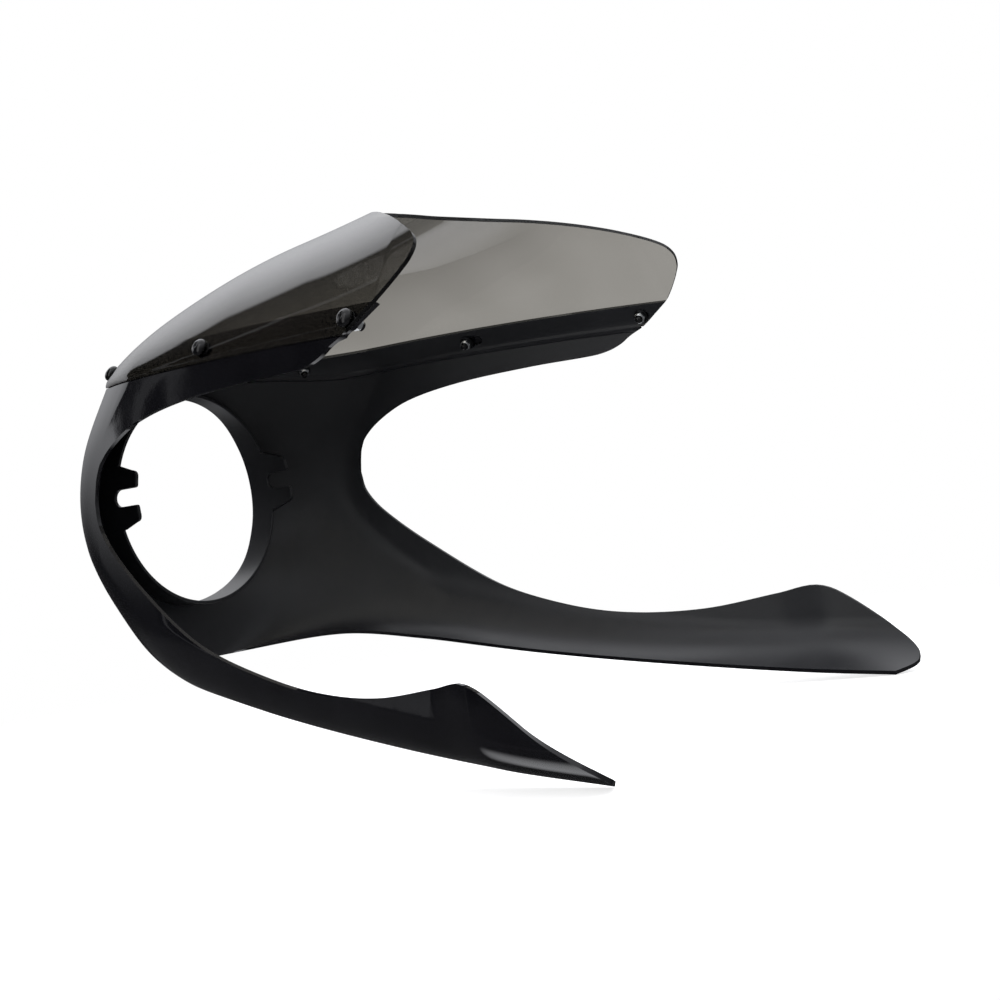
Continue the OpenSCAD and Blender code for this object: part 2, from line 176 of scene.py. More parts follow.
def smooth_path(points):
    """A function from 0..1 to the y and z of a smooth path through the points."""
    points = np.array(points, float)
    run = np.concatenate([[0], np.cumsum(np.linalg.norm(np.diff(points, axis=0), axis=1))])
    run /= run[-1]
    return lambda t: (along(np.column_stack([run, points[:, 0]]), t),
                      along(np.column_stack([run, points[:, 1]]), t))


# Side profile of the nose and how deep the nose is, by height
BROW_HEIGHT = SEAM_HEIGHT + SEAM_RISE + 1
NOSE_PROFILE = [(-CHIN_DROP, CHIN_SET_BACK - 6 - NOSE_REACH), (-OPENING_R - 2, CHIN_SET_BACK - NOSE_REACH),
                (-30, -NOSE_REACH - 0.5), (40, -NOSE_REACH + 1), (BROW_HEIGHT, BROW_SET_BACK - NOSE_REACH)]
NOSE_DEPTH = [(-CHIN_DROP, 164), (-20, 80), (BROW_HEIGHT, 116)]
# Half widths and heights by distance back
SEAM_HALF = [(0, NOSE_HALF_WIDTH - 9), (150, UPPER_ARM_HALF_WIDTH - 28), (360, UPPER_ARM_HALF_WIDTH)]
WALL_HALF = [(0, NOSE_HALF_WIDTH), (120, NOSE_HALF_WIDTH + 26), (260, 184),
             (LOWER_ARM_REACH - 110, LOWER_ARM_HALF_WIDTH - 12),
             (LOWER_ARM_REACH - 74, LOWER_ARM_HALF_WIDTH),
             (LOWER_ARM_REACH, LOWER_ARM_HALF_WIDTH + 5)]
EDGE_HALF = [(0, 94.5), (107, 123.5), (312, 197.5 - LIP_WIDTH),
             (LOWER_ARM_REACH, LOWER_ARM_HALF_WIDTH - LIP_WIDTH)]
TIP_EDGE = -TIP_DROP - 7
EDGE_HEIGHT = [(-30, -CHIN_DROP), (45, 2.5 - CHIN_DROP), (107, -141), (209, -163), (312, -181),
               (423, TIP_EDGE + 9), (LOWER_ARM_REACH, TIP_EDGE)]
BEND_HEIGHT = [(0, -44), (120, -88), (333, -149), (500, -167)]


def nose_line(z):
    return along(NOSE_PROFILE, z)


def section(y, z):
    """Half width of the walls, with the lip that curls in under them."""
    bend, wall = along(BEND_HEIGHT, y), along(WALL_HALF, y)
    above = np.maximum(z - bend, 0) / (SEAM_HEIGHT - 1 - bend)
    below = np.clip((bend - z) / (bend - along(EDGE_HEIGHT, y)), 0, 1.04)
    curl = (1 - np.sqrt(1 - (LIP_CURL * below) ** 2)) / (1 - math.sqrt(1 - LIP_CURL**2))
    upper = mix(wall, along(SEAM_HALF, y), above**2)
    lower = mix(wall, along(EDGE_HALF, y), curl)
    return np.where(z > bend, upper, lower)


def skin_square(y, z):
    """Square of the half width at y and z. It runs on smoothly through the mirror plane."""
    s = np.minimum((y - nose_line(z)) / along(NOSE_DEPTH, z), 1)
    return section(y, z) ** 2 * s * (2 - s)


def body_half(y, z):
    return np.sqrt(np.maximum(skin_square(y, z), 0))


def wall_normals(points, step=0.2):
    """Outward normals of the wall at points on it."""
    x, y, z = points[..., 0], points[..., 1], points[..., 2]
    slope_y = (skin_square(y + step, z) - skin_square(y - step, z)) / (2 * step)
    slope_z = (skin_square(y, z + step) - skin_square(y, z - step)) / (2 * step)
    n = np.stack([2 * x, -slope_y, -slope_z], axis=-1)
    return n / np.linalg.norm(n, axis=-1, keepdims=True)


def nose_at(x, z):
    """How far back the nose's skin is at x and z."""
    near, far = np.full(np.shape(x), -60.0), np.full(np.shape(x), 60.0)
    for _ in range(40):
        middle = (near + far) / 2
        wide = body_half(middle, z) > x
        near, far = np.where(wide, near, middle), np.where(wide, middle, far)
    return np.where(x < 1e-6, nose_line(z), (near + far) / 2)


def seam(y):
    """Height of the seam between body and screen."""
    fall = SEAM_FALL * (np.maximum(0, y - SEAM_LEVEL_END) / (SEAM_REACH - SEAM_LEVEL_END)) ** 2
    return SEAM_HEIGHT - fall + SEAM_RISE * ease((BROW_RUN - y) / BROW_RUN)


SEAM_FRONT = float(nose_line(SEAM_HEIGHT + SEAM_RISE))


def crown(y):
    """Height of the top of the arch above the seam, which lifts again towards the screen's tail."""
    t = np.clip((y - SEAM_FRONT) / CROWN_RUN, 0, 1)
    tail = TAIL_LIFT * (np.maximum(0, y - TAIL_START) / TAIL_RUN) ** 2
    return CROWN_HEIGHT * (1 - (1 - t) ** 2) ** CROWN_POWER + tail


def foot(y):
    """The straight stretch at the foot of the arch."""
    return STRAIGHT_FOOT * np.clip((y - SEAM_FRONT) / FOOT_RUN, 0, 1)


def arch_share(y, h):
    """How far up the arch a height above the seam is, from 0 to 1."""
    return np.clip(np.maximum(0, h - foot(y)) / np.maximum(crown(y) - foot(y), 0.001), 0, 1) ** FOOT_POWER


def arch_point(y, h):
    """Point of the arch over the body, h above the seam."""
    return np.stack([body_half(y, seam(y)) * (1 - arch_share(y, h)) ** (1 / SIDE_POWER),
                     y + 0 * h, seam(y) + h], axis=-1)


def lap_point(y, h):
    """Point of the band that the screen laps, in the column that leaves the seam at y."""
    lean = np.clip((y - SEAM_FRONT) / (SEAM_REACH - SEAM_FRONT), 0, 1) ** 1.5
    start = SEAM_FRONT + CROWN_RUN * (1 - np.sqrt(1 - (h / CROWN_HEIGHT) ** (1 / CROWN_POWER)))
    return arch_point(y + mix(start - SEAM_FRONT, RAKE * h, lean), h)


# Outlines in side view: below and above the side cut-outs
ARM_TOP = smooth_path([
    (CUTOUT_FRONT, CUTOUT_MIDDLE), (CUTOUT_FRONT + 2, -12), (CUTOUT_FRONT + 15, -31), (97, -62),
    (155, -103), (204, -124), (265, -140), (333, -145),
    (LOWER_ARM_REACH - 111, HUMP_RISE - TIP_DROP - 3), (LOWER_ARM_REACH - 85, HUMP_RISE - TIP_DROP),
    (LOWER_ARM_REACH - 67, HUMP_RISE - TIP_DROP - 6.5), (LOWER_ARM_REACH - 22, 22 - TIP_DROP),
    (LOWER_ARM_REACH - 3, 6 - TIP_DROP), (LOWER_ARM_REACH, -TIP_DROP)])
ARM_UNDER = smooth_path([
    (CUTOUT_FRONT, CUTOUT_MIDDLE), (CUTOUT_FRONT + 1, 14), (CUTOUT_FRONT + 9, 30),
    (76, UPPER_ARM_BOTTOM - 20), (108, UPPER_ARM_BOTTOM - 8), (160, UPPER_ARM_BOTTOM - 1),
    (230, UPPER_ARM_BOTTOM + 1), (SEAM_REACH - 45, UPPER_ARM_BOTTOM + 0.5),
    (SEAM_REACH - 31, UPPER_ARM_BOTTOM + 2), (SEAM_REACH - 20, UPPER_ARM_BOTTOM + 5.5),
    (SEAM_REACH - 12, UPPER_ARM_BOTTOM + 10)])

# Columns run from the middle of the nose to the cut-outs (0 to 1), then along each arm (1 to 2), where
# they stand closer together towards both ends
NOSE_COLUMNS, ARM_COLUMNS = 32, 104
COLUMN_CROWDING = 0.055
NOSE_SEAM_RUN = 100.0
LOWER_ROWS, SIDE_ROWS = 40, 22
columns = np.concatenate([np.linspace(0, 1, NOSE_COLUMNS + 1), 1 + np.linspace(0, 1, ARM_COLUMNS + 1)[1:]])
on_arm = columns > 1
nose_share = np.minimum(columns, 1) ** 2
arm_share = np.maximum(columns - 1, 0)
arm_place = arm_share - COLUMN_CROWDING * np.sin(2 * math.pi * arm_share)
straighten = np.maximum(0, 1 - 3 * arm_share)
CHIN_FRONT = float(nose_line(-CHIN_DROP))
cutout_row_y = nose_line(CUTOUT_MIDDLE) + (CUTOUT_FRONT - nose_line(CUTOUT_MIDDLE)) * nose_share


def wall_grid(low_y, low_z, high_y, high_z, shares):
    """Columns of points on the wall, from a low to a high edge."""
    col = [np.asarray(a, float)[:, None] for a in (low_y, low_z, high_y, high_z, straighten)]
    z = mix(col[1], col[3], shares)
    y = mix(col[0], col[2], shares) + col[4] * (
        nose_line(z) - mix(nose_line(col[1]), nose_line(col[3]), shares))
    return np.stack([body_half(y, z), y, z], axis=-1)


def lower_wall():
    """The wall below the cut-outs. The last columns bulge back, which rounds the arm's tip."""
    top_y, top_z = ARM_TOP(arm_place)
    low_y = np.where(on_arm, mix(CHIN_FRONT + CHIN_RUN, LOWER_ARM_REACH - TIP_SET_BACK, arm_place),
                     CHIN_FRONT + CHIN_RUN * nose_share)
    shares = np.linspace(0, 1, LOWER_ROWS + 1)[None, :] ** 1.15
    grid = wall_grid(low_y, along(EDGE_HEIGHT, low_y), np.where(on_arm, top_y, cutout_row_y),
                     np.where(on_arm, top_z, CUTOUT_MIDDLE), shares)
    near_tip = ease((arm_place[:, None] - TIP_START) / (1 - TIP_START))
    grid[..., 1] += TIP_ROUND * near_tip * np.sin(math.pi * shares)
    grid[..., 0] = body_half(grid[..., 1], grid[..., 2])
    return grid


def seam_places():
    return np.where(on_arm, mix(SEAM_FRONT + NOSE_SEAM_RUN, SEAM_REACH, arm_place),
                    SEAM_FRONT + NOSE_SEAM_RUN * nose_share)


SEAT_RISES = np.array([STEP_RISE, 2.6, 5, 8, 11, 14, 17, 18.7, SEAT_HEIGHT])


def upper_wall():
    """The wall up to the seam, then the rows of the stepped seat."""
    under_y, under_z = ARM_UNDER(arm_place)
    low_y = np.where(on_arm, under_y, cutout_row_y)
    low_z = np.where(on_arm, under_z, CUTOUT_MIDDLE)
    places = seam_places()
    heights = seam(places)
    shares = np.linspace(0, 1, SIDE_ROWS + 1)[None, :] * (1 - 2 / (heights - low_z))[:, None]
    side = wall_grid(low_y, low_z, places, heights, shares)
    edge = np.stack([body_half(places, heights), places, heights], axis=-1)[:, None, :]
    seat = lap_point(places[:, None], SEAT_RISES[None, :])
    return np.concatenate([side, edge, seat], axis=1)


def normals(half_grid):
    """Outward normals of a grid whose first column lies on the mirror plane."""
    flip = np.array([-1, 1, 1])
    grid = np.concatenate([half_grid[1:2] * flip, half_grid])
    across = np.empty_like(grid)
    across[1:-1] = grid[2:] - grid[:-2]
    across[-1] = grid[-1] - grid[-2]
    up = np.empty_like(grid)
    up[:, 1:-1] = grid[:, 2:] - grid[:, :-2]
    up[:, 0], up[:, -1] = grid[:, 1] - grid[:, 0], grid[:, -1] - grid[:, -2]
    n = np.cross(across, up)[1:]
    return n / np.linalg.norm(n, axis=-1, keepdims=True)


OUTSIDE, INSIDE = 0, 1


class Skin:
    """Points and faces of one half of a piece, in millimetres."""

    def __init__(self):
        self.points, self.faces, self.finishes = [], [], []

    def lay(self, grid, finish, keep=None):
        """Adds a grid of points with its faces; keep says which cells stay."""
        grid = np.asarray(grid, float)
        cols, rows = grid.shape[:2]
        start = len(self.points)
        self.points.extend(grid.reshape(-1, 3))
        for c in range(cols - 1):
            for r in range(rows - 1):
                if keep is None or keep[c, r]:
                    a = start + c * rows + r
                    self.faces.append((a, a + rows, a + rows + 1, a + 1))
                    self.finishes.append(finish)

    def bmesh(self):
        """Both halves, welded, with faces turned outwards."""
        bm = bmesh.new()
        for side in (1, -1):
            made = [bm.verts.new((p[0] * side * MM, p[1] * MM, p[2] * MM)) for p in self.points]
            for face, finish in zip(self.faces, self.finishes):
                bm.faces.new([made[i] for i in face]).material_index = finish
        bmesh.ops.remove_doubles(bm, verts=bm.verts, dist=3e-6)
        bmesh.ops.dissolve_degenerate(bm, edges=bm.edges, dist=1e-6)
        bmesh.ops.recalc_face_normals(bm, faces=bm.faces)
        return bm


def round_edges(bm, width, angle=40):
    """Rounds the edges of a mesh that turn by more than the angle."""
    sharp = [e for e in bm.edges if len(e.link_faces) == 2 and e.calc_face_angle() > math.radians(angle)]
    bmesh.ops.bevel(bm, geom=sharp, offset=width * MM, segments=3, profile=0.5, affect="EDGES",
                    clamp_overlap=True, material=-1)


def to_object(bm, name, materials, smooth=True):
    mesh = bpy.data.meshes.new(name)
    bm.to_mesh(mesh)
    bm.free()
    for material in materials:
        mesh.materials.append(material)
    mesh.polygons.foreach_set("use_smooth", [smooth] * len(mesh.polygons))
    made = bpy.data.objects.new(name, mesh)
    scene.collection.objects.link(made)
    return made


def cut_away(target, cutter):
    """Cuts one object from another for good, and drops the cutter."""
    modifier = target.modifiers.new("cut", "BOOLEAN")
    modifier.operation, modifier.solver, modifier.object = "DIFFERENCE", "EXACT", cutter
    evaluated = target.evaluated_get(bpy.context.evaluated_depsgraph_get())
    mesh = bpy.data.meshes.new_from_object(evaluated)
    target.modifiers.clear()
    target.data = mesh
    bpy.data.objects.remove(cutter)


# The patch of the nose around the opening: its columns and its lowest row
PATCH_COLUMNS = 18
PATCH_LOW_ROW = 11
PATCH_RINGS = 12
HOLE_EDGE_R = OPENING_R + 1.5


def patch_rings(loop, radii):
    """Rings of x and z from a circle of the given radii out to the loop around it."""
    turn = np.arctan2(loop[:, 2], loop[:, 0])
    circle = np.stack([radii * np.cos(turn), radii * np.sin(turn)], axis=-1)
    circle[[0, -1], 0] = 0
    shares = np.linspace(0, 1, PATCH_RINGS + 1)[:-1, None, None] ** 1.4
    return mix(circle[None], loop[None, :, [0, 2]], shares)


def around_opening(lower, upper, depth):
    """The nose's skin between the opening and the loop of grid points around it."""
    loops = [np.concatenate([low[:PATCH_COLUMNS, PATCH_LOW_ROW], low[PATCH_COLUMNS, PATCH_LOW_ROW:],
                             up[PATCH_COLUMNS, 1:SIDE_ROWS + 1], up[PATCH_COLUMNS - 1::-1, SIDE_ROWS]])
             for low, up in zip(lower, upper)]
    made = []
    for loop, inset in zip(loops, (0, depth)):
        radii = np.full(len(loop), HOLE_EDGE_R)
        for _ in range(5):
            flat = patch_rings(loops[0], radii)
            x, z = flat[..., 0], flat[..., 1]
            rings = np.stack([x, nose_at(x, z), z], axis=-1)
            rings = rings - inset * wall_normals(rings)
            radii = radii + HOLE_EDGE_R - np.hypot(rings[0, :, 0], rings[0, :, 2])
        rings[:, [0, -1], 0] = 0
        made.append(np.concatenate([rings, loop[None]]))
    return made


def body_skin():
    """The moulded wall: outside and inside grids, the patch around the opening and the edges."""
    skin = Skin()
    lower, upper = lower_wall(), upper_wall()
    lower_n = wall_normals(lower)
    seat_row = SIDE_ROWS + 2
    upper_n = np.concatenate([wall_normals(upper[:, :seat_row]), normals(upper)[:, seat_row:]], axis=1)
    rows = np.arange(upper.shape[1])
    outer_depth = np.where(rows >= seat_row, JOGGLE, 0)
    inner_depth = BODY_WALL + np.select([rows >= seat_row, rows > SIDE_ROWS], [JOGGLE, 0.8 * JOGGLE], 0)
    upper_out = upper - outer_depth[None, :, None] * upper_n
    upper_in = upper - inner_depth[None, :, None] * upper_n
    lower_out, lower_in = lower, lower - BODY_WALL * lower_n
    # the two grids share the row from the nose to the front of the cut-outs
    shared = NOSE_COLUMNS + 1
    upper_in[:shared, 0] = lower_in[:shared, -1]
    upper_out[:shared, 0] = lower_out[:shared, -1]
    keep_low = np.ones((len(lower) - 1, LOWER_ROWS), bool)
    keep_low[:PATCH_COLUMNS, PATCH_LOW_ROW:] = False
    keep_up = np.ones((len(upper) - 1, upper.shape[1] - 1), bool)
    keep_up[:PATCH_COLUMNS, :SIDE_ROWS] = False
    skin.lay(lower_out, OUTSIDE, keep_low)
    skin.lay(lower_in, INSIDE, keep_low)
    skin.lay(upper_out, OUTSIDE, keep_up)
    skin.lay(upper_in, INSIDE, keep_up)
    patches = around_opening((lower_out, lower_in), (upper_out, upper_in), BODY_WALL)
    for patch, finish in zip(patches, (OUTSIDE, INSIDE)):
        skin.lay(patch, finish)
    for outer, inner in (
            (patches[0][0], patches[1][0]),
            (lower_out[:, 0], lower_in[:, 0]),
            (upper_out[:, -1], upper_in[:, -1]),
            (lower_out[NOSE_COLUMNS:, -1], lower_in[NOSE_COLUMNS:, -1]),
            (upper_out[NOSE_COLUMNS:, 0], upper_in[NOSE_COLUMNS:, 0]),
            (lower_out[-1], lower_in[-1]),
            (upper_out[-1], upper_in[-1])):
        skin.lay(np.stack([outer, inner]), OUTSIDE)
    return skin


def tongue_outline():
    """Rear rim of the collar on one side, as points (angle, distance back), with the slotted tongue."""
    end = TONGUE_HALF - TONGUE_TAPER
    corner, mouth = TONGUE_CORNER, SLOT_MOUTH_ROUND
    slot_end = TONGUE_LENGTH - SLOT_DEPTH + SLOT_HALF
    points = [(-TONGUE_HALF - 0.1, 0), (-TONGUE_HALF, 3)]
    for t in (0.33, 0.66):
        points.append((mix(-TONGUE_HALF, -end, t), mix(3, TONGUE_LENGTH - corner, t)))
    for a in np.radians([180, 157, 135, 112, 90]):
        points.append((corner - end + corner * math.cos(a), TONGUE_LENGTH - corner + corner * math.sin(a)))
    points += [(-13, TONGUE_LENGTH), (-9.5, TONGUE_LENGTH)]
    for a in np.radians([90, 60, 30, 0]):
        points.append((mouth * math.cos(a) - SLOT_HALF - mouth, TONGUE_LENGTH - mouth + mouth * math.sin(a)))
    # the end of the slot is set over by a hair, so that no two points share a place
    for a in np.radians(np.arange(180, 271, 15)):
        points.append((SLOT_HALF * math.cos(a) + 1e-3 * len(points), slot_end + SLOT_HALF * math.sin(a)))
    whole = points + [(-s, y) for s, y in points[-2::-1]]
    turns = [(math.asin((TONGUE_RISE + s) / OPENING_R), y) for s, y in whole]
    below = [(a, 0.0) for a in np.linspace(-math.pi / 2, turns[0][0], 40)[:-1]]
    above = [(a, 0.0) for a in np.linspace(turns[-1][0], math.pi / 2, 34)[1:]]
    return np.array(below + turns + above)


def collar_band():
    """Collar and tongues: one closed band with a rounded rear rim and a lip that blends into the nose."""
    rim = tongue_outline()
    run = np.column_stack([rim[:, 0] * OPENING_R, rim[:, 1]])
    steps = np.diff(run, axis=0)
    sides = np.column_stack([-steps[:, 1], steps[:, 0]]) / np.linalg.norm(steps, axis=1)[:, None]
    out = np.vstack([sides[:1], sides[1:] + sides[:-1], sides[-1:]])
    out /= np.linalg.norm(out, axis=1)[:, None]
    out[[0, -1]] = (0, 1)
    set_in = run - EDGE_ROUND * out
    angle = set_in[:, 0] / OPENING_R
    angle[[0, -1]] = rim[[0, -1], 0]
    on_tongue = np.clip((TONGUE_HALF + 1 - np.abs(OPENING_R * np.sin(rim[:, 0]) - TONGUE_RISE)), 0, 1)
    outer_r = OPENING_R + mix(COLLAR_WALL, TONGUE_WALL, on_tongue)

    def place(radius, turn, y):
        x = radius * np.cos(turn)
        x[[0, -1]] = 0
        return np.stack([x, y + 0 * x, radius * np.sin(turn)], axis=-1)

    def skin_y(radius):
        return nose_at(np.abs(radius * np.cos(angle)), radius * np.sin(angle))

    ones = np.ones(len(rim))
    lip_start, lip_end = skin_y(HOLE_EDGE_R * ones), skin_y(OPENING_R * ones)
    rings = []
    for t in np.linspace(0, 1, 5):
        radius = (1 - t) ** 2 * HOLE_EDGE_R + (1 - (1 - t) ** 2) * OPENING_R
        y = (1 - t) ** 2 * lip_start + 2 * t * (1 - t) * lip_end + t * t * (lip_end + LIP_LENGTH)
        rings.append(place(radius * ones, angle, y))
    for t in (0.35, 0.7, 1):
        rings.append(place(OPENING_R * ones, angle, mix(lip_end + LIP_LENGTH, COLLAR_FOOT, t)))
    for t in (0.5, 1):
        rings.append(place(OPENING_R * ones, angle, mix(COLLAR_FOOT, set_in[:, 1], t)))
    for steps_up, centre_r, direction in (((30, 60, 90), OPENING_R + EDGE_ROUND, -1),
                                          ((90, 60, 30), outer_r - EDGE_ROUND, 1)):
        for a in np.radians(steps_up):
            rise = EDGE_ROUND * math.sin(a)
            turn = (set_in[:, 0] + rise * out[:, 0]) / OPENING_R
            turn[[0, -1]] = angle[[0, -1]]
            radius = centre_r + direction * EDGE_ROUND * math.cos(a)
            rings.append(place(radius * ones, turn, set_in[:, 1] + rise * out[:, 1]))
    rings.append(place(outer_r, angle, set_in[:, 1]))
    rings.append(place(outer_r, angle, mix(COLLAR_FOOT, set_in[:, 1], 0.5)))
    rings.append(place(outer_r, angle, COLLAR_FOOT * ones))
    rings.append(place(outer_r, angle, skin_y(outer_r) + LIP_LENGTH))
    rings.append(rings[0])
    band = Skin()
    band.lay(np.stack(rings), INSIDE)
    return band


def screw_frame(y, side):
    """Where a screw goes through the outside of the screen, and its axis outwards."""
    p = arch_point(np.float64(y), np.float64(SCREW_RISE))
    n = np.cross(arch_point(y + 1.0, SCREW_RISE) - arch_point(y - 1.0, SCREW_RISE),
                 arch_point(y + 0.0, SCREW_RISE + 1) - arch_point(y + 0.0, SCREW_RISE - 1))
    n /= np.linalg.norm(n)
    axis = Vector((n[0] * side, n[1], n[2]))
    back = Vector((0, 1, 0)) - axis * axis.y
    back.normalize()
    place = Matrix((axis.cross(back) * -1, back, axis)).transposed().to_4x4()
    place.translation = Vector((p[0] * side, p[1], p[2])) * MM
    return place


SCREW_PLACES = [(y, side) for y in (FRONT_SCREW, MIDDLE_SCREW, REAR_SCREW) for side in (1, -1)]


def seat_cutter(sizes, low, high):
    """One cutter for six openings in the seat, from each one's length and width."""
    bm = bmesh.new()
    for (y, side), (length, width) in zip(SCREW_PLACES, sizes):
        turns = np.linspace(0, 2 * math.pi, 49)[:-1]
        outline = [(width / 2 * math.cos(a), width / 2 * math.sin(a) + (length - width) * (math.sin(a) > 0))
                   for a in turns]
        place = screw_frame(y, side)
        ends = [[bm.verts.new(place @ Vector((x * MM, v * MM, z * MM))) for x, v in outline]
                for z in (low, high)]
        bm.faces.new(ends[0][::-1])
        bm.faces.new(ends[1])
        for i in range(len(outline)):
            j = (i + 1) % len(outline)
            bm.faces.new((ends[0][i], ends[0][j], ends[1][j], ends[1][i]))
    bmesh.ops.recalc_face_normals(bm, faces=bm.faces)
    return to_object(bm, "seat_hole_cutter", [])


def cowl_body(materials):
    bm = body_skin().bmesh()
    round_edges(bm, EDGE_ROUND)
    body = to_object(bm, "cowl_body", materials)
    # the screws pass through round holes in the floors of slotted pockets, open to the inside
    hole = (SEAT_HOLE, SEAT_HOLE)
    middle = (MIDDLE_SLOT, MIDDLE_SLOT_WIDTH)
    rear = (REAR_SLOT, SEAT_HOLE)
    pockets = [hole, hole, middle, middle, rear, rear]
    cut_away(body, seat_cutter(pockets, -CUTTER_REACH, -JOGGLE - POCKET_FLOOR))
    cut_away(body, seat_cutter([hole] * 6, -CUTTER_REACH, CUTTER_RISE))
    bm = collar_band().bmesh()
    bm.from_mesh(body.data)
    bm.to_mesh(body.data)
    bm.free()
    body.data.polygons.foreach_set("use_smooth", [True] * len(body.data.polygons))
    body.modifiers.new("even_normals", "WEIGHTED_NORMAL").keep_sharp = True
    return body


# The screen's rear edge by the angle up the arch, from the lower rear corner to the crown
REAR_EDGE = [(CORNER_ANGLE, SCREEN_REACH - 7), (28, SCREEN_REACH - 1.5), (32, SCREEN_REACH),
             (36, SCREEN_REACH - 5.5), (44, SCREEN_REACH - 29), (50, SCREEN_REACH - 48),
             (55, SCREEN_REACH - 64), (61, SCREEN_REACH - 83), (67, CROWN_REACH + 30.5),
             (73, CROWN_REACH + 16), (79, CROWN_REACH + 6), (85, CROWN_REACH + 1.5), (90, CROWN_REACH)]
LAP_RISES = np.array([1, 2.5, 5, 8, 11, 14, 17, SEAT_HEIGHT])
ARCH_ROWS = 56
NOSE_SHARE = 12 / 32


def smoked_screen(material):
    """The bubble: its lower rows lap the seat, and the rest run back over the arch to the rear edge."""
    places = seam_places()
    lap = lap_point(places[:, None], LAP_RISES[None, :])
    start = lap[:, -1]
    # the body's nose columns take this share of the rear edge, and its arm columns take the rest
    whole = np.where(on_arm, mix(NOSE_SHARE, 1, arm_share), NOSE_SHARE * columns)
    end_angle = mix(90, CORNER_ANGLE, whole)
    start_angle = np.degrees(np.arcsin(np.sqrt(arch_share(start[:, 1], start[:, 2] - seam(start[:, 1])))))
    t = np.linspace(0, 1, ARCH_ROWS + 1)[None, 1:]
    angle = np.radians(mix(start_angle[:, None], end_angle[:, None], t))
    y = mix(start[:, 1][:, None], along(REAR_EDGE, end_angle)[:, None], t)
    x = body_half(y, seam(y)) * np.maximum(np.cos(angle), 0) ** (2 / SIDE_POWER)
    x[0] = 0
    z = seam(y) + foot(y) + (crown(y) - foot(y)) * np.sin(angle) ** (2 / FOOT_POWER)
    outside = np.concatenate([lap, np.stack([x, y, z], axis=-1)], axis=1)
    inside = outside - SCREEN_WALL * normals(outside)
    skin = Skin()
    for grid in (outside, inside):
        skin.lay(grid, 0)
    for pair in ((outside[:, 0], inside[:, 0]), (outside[:, -1], inside[:, -1]), (outside[-1], inside[-1])):
        skin.lay(np.stack(pair), 0)
    bm = skin.bmesh()
    round_edges(bm, EDGE_ROUND)
    screen = to_object(bm, "smoked_screen", [material])
    screen.modifiers.new("even_normals", "WEIGHTED_NORMAL").keep_sharp = True
    return screen


def turned(bm, profile, place, sides=48):
    """Sweeps a profile of (radius, height) about a screw's axis, and gives back its bands of faces. Both
    can be one number or one for each side."""
    turns = np.linspace(0, 2 * math.pi, sides + 1)[:-1]
    rings = []
    for radius, height in profile:
        points = np.stack([radius * np.cos(turns), radius * np.sin(turns), height + 0 * turns], axis=-1) * MM
        if np.max(radius) < 1e-6:
            points = points[:1]
        rings.append([bm.verts.new(place @ Vector(point)) for point in points])
    bands = []
    for low, high in zip(rings[:-1], rings[1:]):
        band = []
        for i in range(sides):
            j = (i + 1) % sides
            corners = [low[i % len(low)], low[j % len(low)], high[j % len(high)], high[i % len(high)]]
            band.append(bm.faces.new(list(dict.fromkeys(corners))))
        bands.append(band)
    return bands


def turned_object(bm, name, materials, smooth=True):
    """Welds turned pieces, turns their faces outwards and makes them one object."""
    bmesh.ops.remove_doubles(bm, verts=bm.verts, dist=1e-6)
    bmesh.ops.recalc_face_normals(bm, faces=bm.faces)
    return to_object(bm, name, materials, smooth)


def dome_screws(material):
    """Domed socket heads and threaded shanks with a chamfered end."""
    bm = bmesh.new()
    rim = HEAD_GAP + HEAD_RIM
    socket_r = SOCKET_SHARE * HEAD_D
    floor = HEAD_GAP + 0.5 * HEAD_HEIGHT
    dome = [(0, floor), (socket_r - 0.1, floor), (socket_r, floor + 0.1)]
    for a in np.linspace(math.asin((socket_r + 0.15) / (HEAD_D / 2)), math.pi / 2, 16):
        dome.append((HEAD_D / 2 * math.sin(a), rim + (HEAD_HEIGHT - HEAD_RIM) * math.cos(a)))
    dome += [(HEAD_D / 2, HEAD_GAP + 0.2), (HEAD_D / 2 - 0.2, HEAD_GAP), (SCREW_D / 2, HEAD_GAP)]
    thread = -GRIP + 1
    shank = [(SCREW_D / 2, HEAD_GAP), (SCREW_D / 2, thread)]
    while thread - THREAD_PITCH > 0.8 - SHANK_LENGTH:
        shank.append((SCREW_D / 2 - THREAD_DEPTH, thread - THREAD_PITCH / 2))
        thread -= THREAD_PITCH
        shank.append((SCREW_D / 2, thread))
    shank += [(SCREW_D / 2 - 0.6, -SHANK_LENGTH), (0, -SHANK_LENGTH)]
    for y, side in SCREW_PLACES:
        place = screw_frame(y, side)
        turned(bm, dome, place)
        turned(bm, shank, place, 24)
    return turned_object(bm, "dome_screws", [material])


def flat_washers(material):
    """Punched washers with their edges slightly broken."""
    bm = bmesh.new()
    low, high = -GRIP - WASHER_HEIGHT, -GRIP
    hole, rim = (SCREW_D + 0.4) / 2, WASHER_D / 2
    ring = [(hole, low + 0.1), (hole + 0.1, low), (rim - 0.2, low), (rim, low + 0.2), (rim, high - 0.1),
            (rim - 0.1, high), (hole + 0.1, high), (hole, high - 0.1), (hole, low + 0.1)]
    for y, side in SCREW_PLACES:
        turned(bm, ring, screw_frame(y, side))
    return turned_object(bm, "flat_washers", [material])


